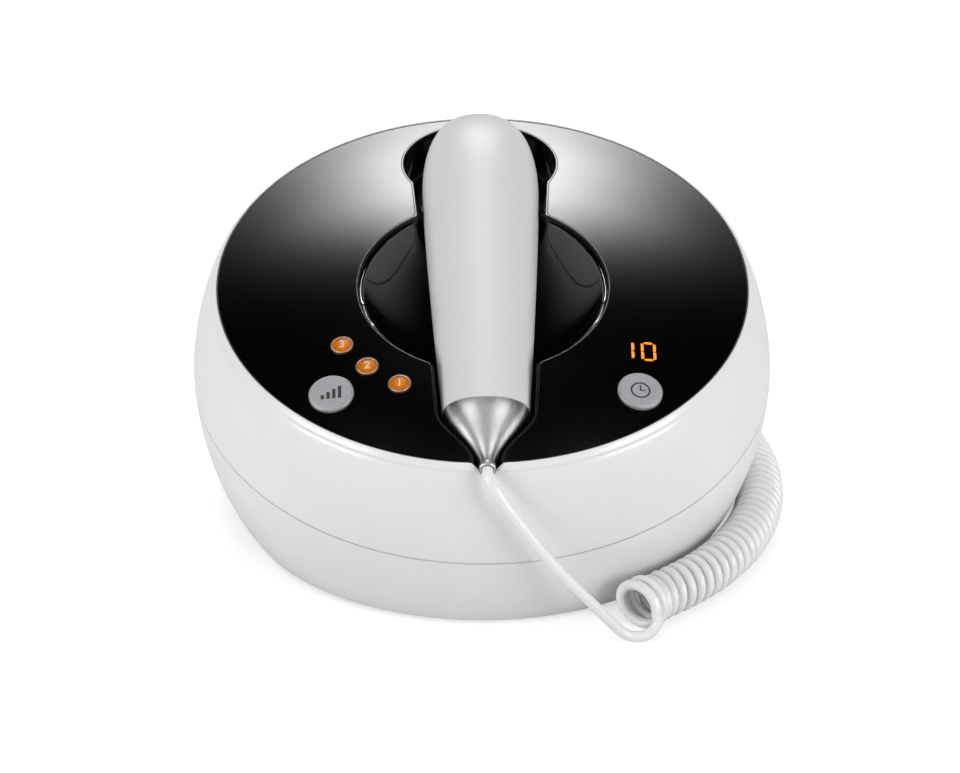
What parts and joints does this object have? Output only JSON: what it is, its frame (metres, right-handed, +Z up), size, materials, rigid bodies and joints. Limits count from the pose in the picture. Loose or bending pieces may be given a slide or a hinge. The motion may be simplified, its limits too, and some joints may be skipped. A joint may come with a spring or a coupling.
{
  "type": "facial toning device",
  "caption": "Radio-frequency facial toning device: tilted round white base with black control panel, buttons and cradle, holding a corded handpiece with a round treatment head.",
  "frame": {"origin": "floor point below the centre of the device's bounding box without its cord", "axes": "+Z up, +Y from the low front with the cone to the high rear, +X to the right seen from the front"},
  "size_m": [0.1822, 0.207, 0.1092],
  "materials": {
    "white_shell": "glossy",
    "black_panel": "mirror-like gloss",
    "black_tray": "satin gloss",
    "amber_lens": "clear gloss, lit",
    "bright_ring": "polished",
    "dark_module": "matt",
    "board": "solder mask",
    "led": "clear",
    "steel": "plain",
    "ferrite": "matt",
    "capacitor_sleeve": "gloss",
    "bare_aluminium": "extruded",
    "black_plastic": "fine matt",
    "contact_metal": "polished",
    "black_gloss": "gloss",
    "rubber": "matt",
    "white_flexible": "matt",
    "silver_button": "silver paint",
    "white_handle": "satin gloss",
    "brushed_cone": "fine turned",
    "electrode_metal": "polished",
    "white_cord": "smooth"
  },
  "bodies": {
    "base": {"lower_shell": "white_shell", "upper_shell": "white_shell", "top_panel": "black_panel", "cradle_tray": "black_tray", "level_lenses": "amber_lens", "lens_rings": "bright_ring", "display_module": "dark_module", "control_board": "board", "tact_switches": "dark_module", "indicator_leds": "led", "board_screws": "steel", "main_board": "board", "rf_transformer": "ferrite", "capacitors": "capacitor_sleeve", "heat_sink": "bare_aluminium", "dc_inlet": "black_plastic", "dc_pin": "contact_metal", "rocker_housing": "black_plastic", "rubber_feet": "rubber", "case_screws": "steel", "cord_gland": "white_flexible", "cord_lead": "white_cord", "cord_coil": "white_cord", "cord_tail": "white_cord"},
    "handpiece": {"handle_top_shell": "white_handle", "handle_bottom_shell": "white_handle", "tail_cone": "brushed_cone", "cord_bush": "bright_ring", "head_bezel": "bright_ring", "electrode_plate": "black_plastic", "electrodes": "electrode_metal", "handpiece_board": "board"},
    "level_key": {"level_button": "silver_button", "level_plunger": "black_plastic"},
    "time_key": {"time_button": "silver_button", "time_plunger": "black_plastic"},
    "rocker": {"power_rocker": "black_gloss"}
  },
  "joints": [
    {"name": "handpiece_lift", "type": "slide", "parent": "base", "child": "handpiece", "axis": [0, -0.2419, 0.9703], "range_m": [0, 0.08]},
    {"name": "level_press", "type": "slide", "parent": "base", "child": "level_key", "axis": [0, 0.2419, -0.9703], "range_m": [0, 0.0005], "stiffness_N_per_m": 2000, "springref_m": -0.0003},
    {"name": "time_press", "type": "slide", "parent": "base", "child": "time_key", "axis": [0, 0.2419, -0.9703], "range_m": [0, 0.0005], "stiffness_N_per_m": 2000, "springref_m": -0.0003},
    {"name": "rocker_tilt", "type": "hinge", "parent": "base", "child": "rocker", "pos_m": [0.002, 0.0841, 0.049], "axis": [1, 0, 0], "range_deg": [0, 16]}
  ]
}
